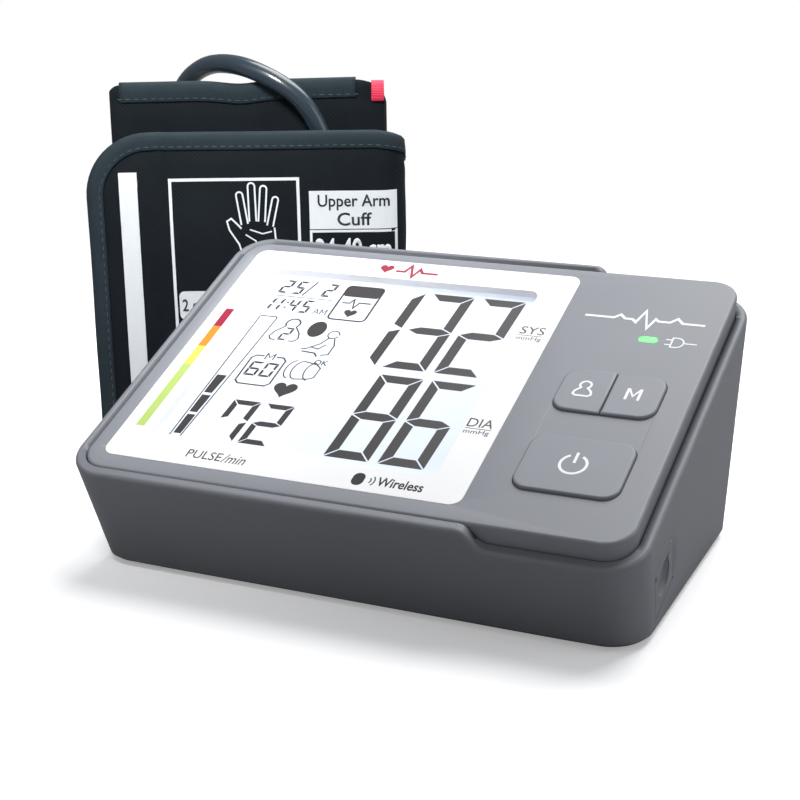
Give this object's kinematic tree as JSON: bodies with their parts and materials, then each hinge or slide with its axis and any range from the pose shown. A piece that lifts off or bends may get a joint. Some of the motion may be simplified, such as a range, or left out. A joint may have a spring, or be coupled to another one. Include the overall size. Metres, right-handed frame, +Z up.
{
  "type": "upper arm blood pressure monitor",
  "caption": "Sloped desktop blood pressure monitor with a large display, push keys, inner pump and valve, and a rolled upper arm cuff with its coiled air tube.",
  "frame": {"origin": "bottom centre of the bounding box of the unit and its standing cuff together", "axes": "+X to the right, +Y away from the user, +Z up"},
  "size_m": [0.2638, 0.2534, 0.1444],
  "materials": {
    "grey_shell": "fine satin moulding",
    "white_surround": "smooth white",
    "display": "pale blue display face",
    "white_plastic": "plain moulding",
    "elastomer": "plain elastomer",
    "key_plastic": "satin moulding",
    "lens_green": "clear green",
    "board": "solder mask",
    "black_plastic": "plain moulding",
    "steel": "plated steel",
    "silicone": "soft tube",
    "foam": "soft pad",
    "cell_wrap": "printed sleeve",
    "wire": "insulation",
    "cuff_cloth": "woven nylon",
    "cuff_inner": "woven nylon",
    "bladder": "soft sheet",
    "hook_tape": "hook tape",
    "tag": "woven tape",
    "ring_metal": "bright wire",
    "air_hose": "smooth hose",
    "plug_plastic": "plain moulding",
    "feet": "soft pad"
  },
  "bodies": {
    "monitor": {"lower_housing": "grey_shell", "upper_cover": "grey_shell", "display_bezel": "white_surround", "lcd_glass": "display", "lcd_backlight": "white_plastic", "lcd_frame": "white_plastic", "zebra_strips": "elastomer", "main_pcb": "board", "pcb_screws": "steel", "tact_switches": "black_plastic", "led_lens": "lens_green", "status_led": "white_plastic", "control_chips": "black_plastic", "wireless_module": "steel", "buzzer": "black_plastic", "pump_motor": "steel", "pump_head": "black_plastic", "pump_cushion": "foam", "release_valve": "black_plastic", "pressure_sensor": "black_plastic", "air_manifold": "silicone", "air_socket": "black_plastic", "aa_batteries": "cell_wrap", "contact_tabs": "steel", "contact_springs": "steel", "rubber_feet": "feet", "case_screws": "steel", "dc_jack": "black_plastic", "jack_foot": "foam", "power_leads": "wire"},
    "power_key": {"power_button": "key_plastic"},
    "user_key": {"user_button": "key_plastic"},
    "memory_key": {"memory_button": "key_plastic"},
    "battery_hatch": {"battery_door": "grey_shell"},
    "jack_flap": {"jack_cover": "grey_shell"},
    "pump_drive": {"pump_rotor": "steel"},
    "valve_core": {"valve_plunger": "steel"},
    "cuff": {"cuff_wrap": "cuff_cloth", "cuff_panel": "cuff_inner", "cuff_bladder": "bladder", "cuff_backing": "cuff_inner", "hook_patch": "hook_tape", "red_tag": "tag", "cuff_nozzle": "plug_plastic", "ring_sleeve": "cuff_inner", "air_tube": "air_hose", "tube_tail": "air_hose", "tube_coil": "air_hose", "coil_tie": "elastomer", "air_plug": "plug_plastic"},
    "ring": {"d_ring": "ring_metal"}
  },
  "joints": [
    {"name": "power_key_press", "type": "slide", "parent": "monitor", "child": "power_key", "axis": [0, 0.3907, -0.9205], "range_m": [0, 0.0005], "stiffness_N_per_m": 2500, "springref_m": -0.0004},
    {"name": "user_key_press", "type": "slide", "parent": "monitor", "child": "user_key", "axis": [0, 0.3907, -0.9205], "range_m": [0, 0.0005], "stiffness_N_per_m": 2500, "springref_m": -0.0004},
    {"name": "memory_key_press", "type": "slide", "parent": "monitor", "child": "memory_key", "axis": [0, 0.3907, -0.9205], "range_m": [0, 0.0005], "stiffness_N_per_m": 2500, "springref_m": -0.0004},
    {"name": "battery_hatch_hinge", "type": "hinge", "parent": "monitor", "child": "battery_hatch", "pos_m": [0.005, -0.0196, 0.0025], "axis": [1, 0, 0], "range_deg": [0, 100]},
    {"name": "jack_flap_hinge", "type": "hinge", "parent": "monitor", "child": "jack_flap", "pos_m": [0.12549, -0.05732, 0.0097], "axis": [0, 0.9205, 0.3907], "range_deg": [0, 95]},
    {"name": "pump_spin", "type": "hinge", "parent": "monitor", "child": "pump_drive", "pos_m": [0.07, -0.0048, 0.0174], "axis": [1, 0, 0], "continuous": true},
    {"name": "valve_travel", "type": "slide", "parent": "monitor", "child": "valve_core", "axis": [0, 0, -1], "range_m": [0, 0.0012], "stiffness_N_per_m": 400, "springref_m": -0.0004},
    {"name": "cuff_lift", "type": "slide", "parent": "monitor", "child": "cuff", "axis": [0, 0, 1], "range_m": [0, 0.15]},
    {"name": "ring_swing", "type": "hinge", "parent": "cuff", "child": "ring", "pos_m": [-0.11594, 0.04937, 0.049], "axis": [0, 0, -1], "range_deg": [0, 85]}
  ]
}
